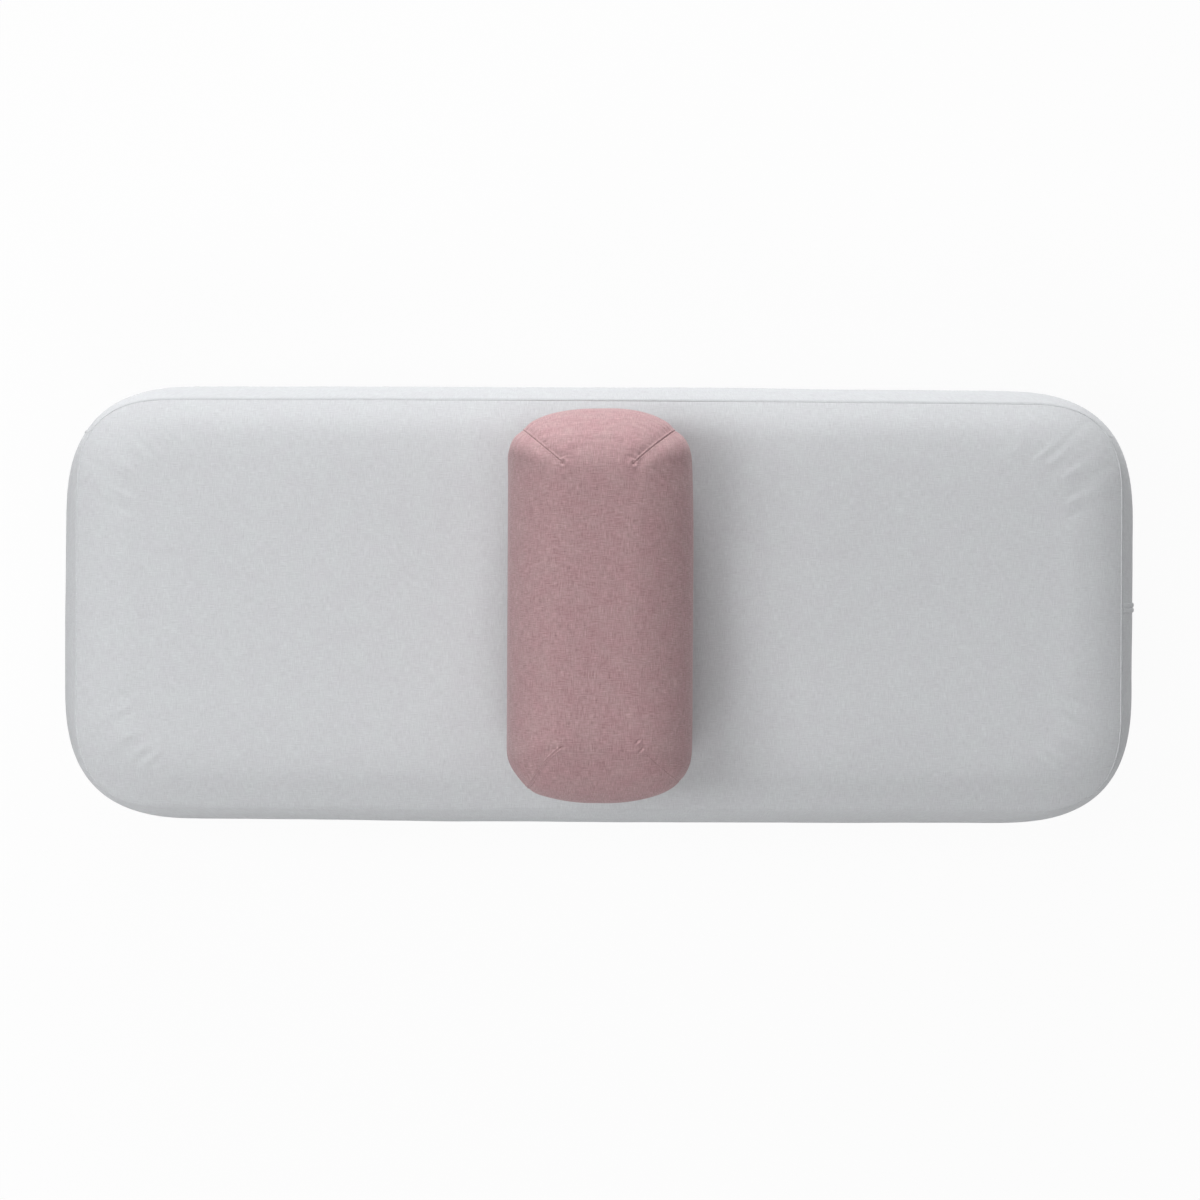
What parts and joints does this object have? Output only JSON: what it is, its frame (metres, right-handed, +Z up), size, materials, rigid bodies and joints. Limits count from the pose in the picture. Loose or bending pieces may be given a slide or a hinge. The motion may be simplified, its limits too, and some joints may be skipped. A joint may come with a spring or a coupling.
{
  "type": "backless divan",
  "caption": "Long backless upholstered divan with rounded corners and a loose block bolster standing across its middle, on low recessed feet.",
  "frame": {"origin": "on the floor, under the middle of the seat", "axes": "+X along the divan's length to the picture's right, +Y to the back, the picture's top, +Z up"},
  "size_m": [2.0046, 0.816, 0.7003],
  "materials": {
    "grey_linen": "matte",
    "rose_linen": "matte",
    "rose_lining": "matte",
    "wadding": "matte",
    "foam": "matte",
    "webbing": "matte",
    "pine": "matte",
    "plywood": "matte",
    "beech": "satin",
    "steel": "satin",
    "dust_cover": "matte",
    "felt": "matte",
    "zip_tape": "matte",
    "zip_coil": "satin",
    "zip_metal": "satin"
  },
  "bodies": {
    "base": {"seat_top_panel": "grey_linen", "seat_band": "grey_linen", "seat_seam_ridge": "grey_linen", "end_closing_seam": "grey_linen", "seat_wadding": "wadding", "seat_foam": "foam", "side_pad_front": "foam", "side_pad_back": "foam", "side_pad_left": "foam", "side_pad_right": "foam", "corner_pad_back_right": "foam", "corner_pad_back_left": "foam", "corner_pad_front_left": "foam", "corner_pad_front_right": "foam", "long_webbing": "webbing", "cross_webbing": "webbing", "front_rail": "pine", "back_rail": "pine", "left_end_rail": "pine", "right_end_rail": "pine", "corner_brace_back_right": "pine", "corner_brace_back_left": "pine", "corner_brace_front_left": "pine", "corner_brace_front_right": "pine", "cross_rail_left": "pine", "cross_rail_right": "pine", "centre_cross_rail": "pine", "corner_board_back_right": "plywood", "corner_board_back_left": "plywood", "corner_board_front_left": "plywood", "corner_board_front_right": "plywood", "frame_screws": "steel", "dust_cover": "dust_cover", "foot_back_right": "beech", "glide_back_right": "felt", "foot_back_left": "beech", "glide_back_left": "felt", "foot_front_left": "beech", "glide_front_left": "felt", "foot_front_right": "beech", "glide_front_right": "felt", "foot_back_middle": "beech", "glide_back_middle": "felt", "foot_front_middle": "beech", "glide_front_middle": "felt", "foot_studs": "steel", "tee_nuts": "steel"},
    "bolster": {"bolster_cover": "rose_linen", "bolster_base_panel": "rose_lining", "bolster_wadding": "wadding", "bolster_foam": "foam", "zip_tapes": "zip_tape", "zip_coils": "zip_coil", "zip_stops": "zip_metal"},
    "slider": {"zip_slider": "zip_metal"},
    "pull_tab": {"zip_pull_tab": "zip_metal"}
  },
  "joints": [
    {"name": "bolster_lift", "type": "slide", "parent": "base", "child": "bolster", "axis": [0, 0, 1], "range_m": [0, 0.45]},
    {"name": "zip_slide", "type": "slide", "parent": "bolster", "child": "slider", "axis": [0, -1, 0], "range_m": [0, 0.443]},
    {"name": "pull_tab_swing", "type": "hinge", "parent": "slider", "child": "pull_tab", "pos_m": [0.14757, 0.2217, 0.45089], "axis": [-0.5963, 0, -0.8027], "range_deg": [-85, 85]}
  ]
}
